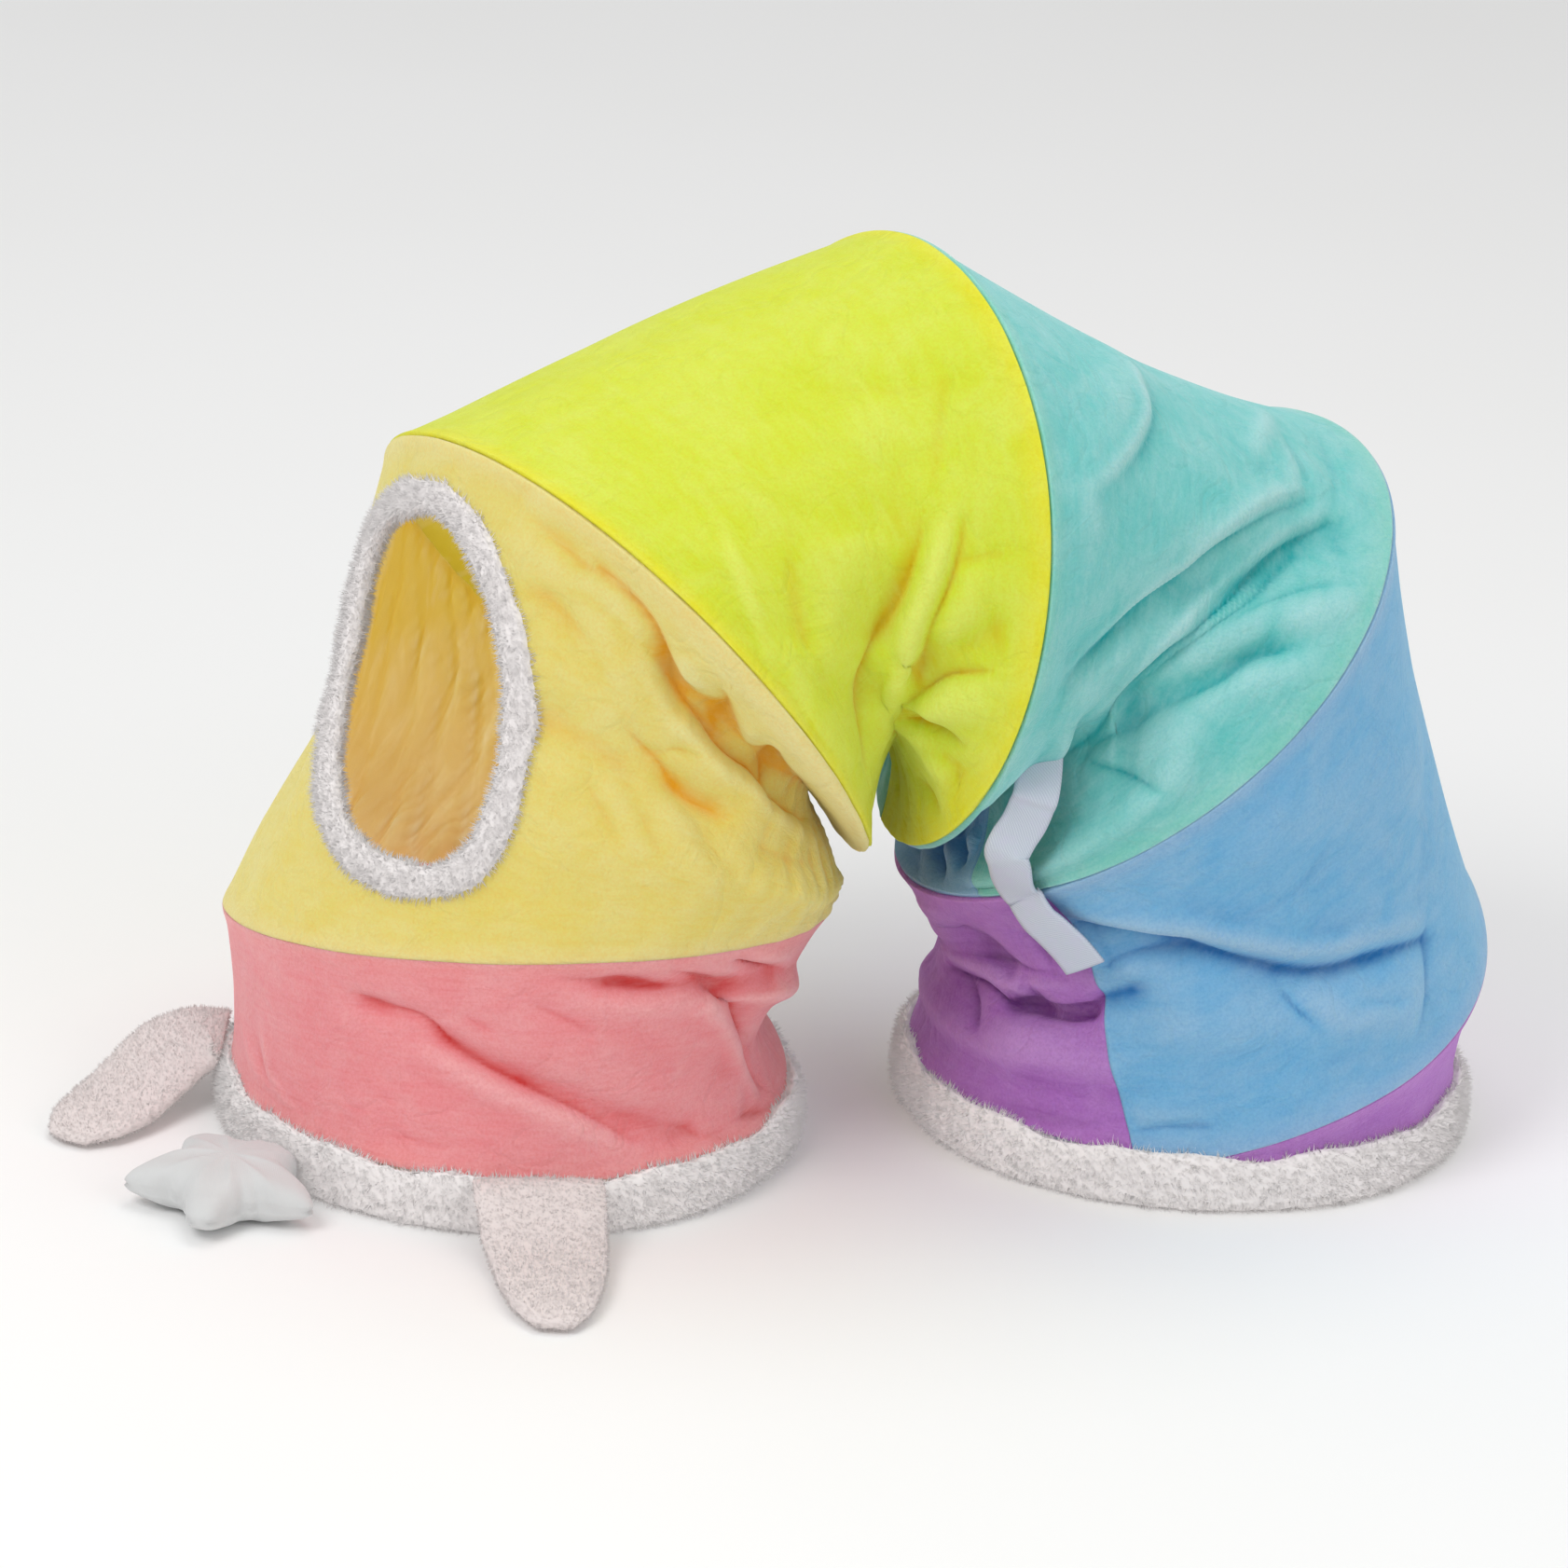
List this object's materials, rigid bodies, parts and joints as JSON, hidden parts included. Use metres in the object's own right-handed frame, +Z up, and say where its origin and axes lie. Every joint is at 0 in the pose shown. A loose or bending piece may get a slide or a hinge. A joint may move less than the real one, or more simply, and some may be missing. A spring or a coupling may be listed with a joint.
{
  "type": "spiral cat tunnel",
  "caption": "Plush cat tunnel held open by a helical wire, bent into an arch that stands on its open ends, with coloured strips, a side opening, ear flaps and a stuffed star.",
  "frame": {"origin": "on the floor, under the middle of the object's outline", "axes": "+X runs from the pink end to the purple end, the longest way; -Y is the side that the picture looks from; +Z is up"},
  "size_m": [0.619, 0.419, 0.3992],
  "materials": {
    "pink_plush": "short velvety pile, pink",
    "pale_yellow_plush": "short velvety pile, pale yellow",
    "lemon_plush": "short velvety pile, lemon yellow",
    "aqua_plush": "short velvety pile, aqua",
    "blue_plush": "short velvety pile, light blue",
    "purple_plush": "short velvety pile, purple",
    "white_plush": "fluffy white pile",
    "star_cloth": "smooth white knit",
    "webbing": "woven white and lilac tape"
  },
  "bodies": {
    "root": {"panel_pink": "pink_plush", "panel_pale_yellow": "pale_yellow_plush", "panel_lemon": "lemon_plush", "panel_aqua": "aqua_plush", "panel_blue": "blue_plush", "panel_purple": "purple_plush", "hem_pink_end": "white_plush", "hem_purple_end": "white_plush", "opening_trim": "white_plush", "ear_front": "white_plush", "ear_back": "white_plush", "star": "star_cloth", "strap": "webbing"}
  },
  "joints": []
}
